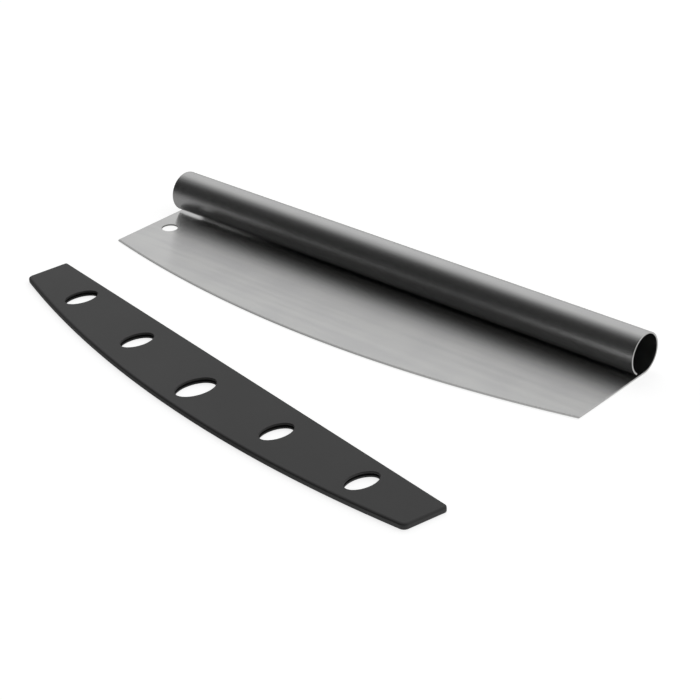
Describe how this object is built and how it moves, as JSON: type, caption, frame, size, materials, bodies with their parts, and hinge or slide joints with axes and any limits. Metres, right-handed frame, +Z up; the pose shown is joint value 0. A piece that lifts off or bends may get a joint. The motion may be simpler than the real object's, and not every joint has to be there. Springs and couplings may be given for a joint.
{
  "type": "rocker pizza cutter",
  "caption": "Rocker pizza cutter: a steel sheet rolled into a tube handle above a bowed blade, with a moulded slip-on guard for the cutting edge lying beside it.",
  "frame": {"origin": "on the table, under the middle of the cutter's footprint, on the underside of the blade", "axes": "+X along the handle, -Y the way the cutting edge faces, +Z up from the table"},
  "size_m": [0.3535, 0.2128, 0.025],
  "materials": {
    "stainless_sheet": "fine brushed",
    "guard_plastic": "fine matte texture"
  },
  "bodies": {
    "cutter": {"blade_with_rolled_handle": "stainless_sheet"},
    "guard": {"blade_guard": "guard_plastic"}
  },
  "joints": [
    {"name": "guard_pull", "type": "slide", "parent": "cutter", "child": "guard", "axis": [0.1869, 0.9824, 0], "range_m": [-0.06, 0.041]}
  ]
}
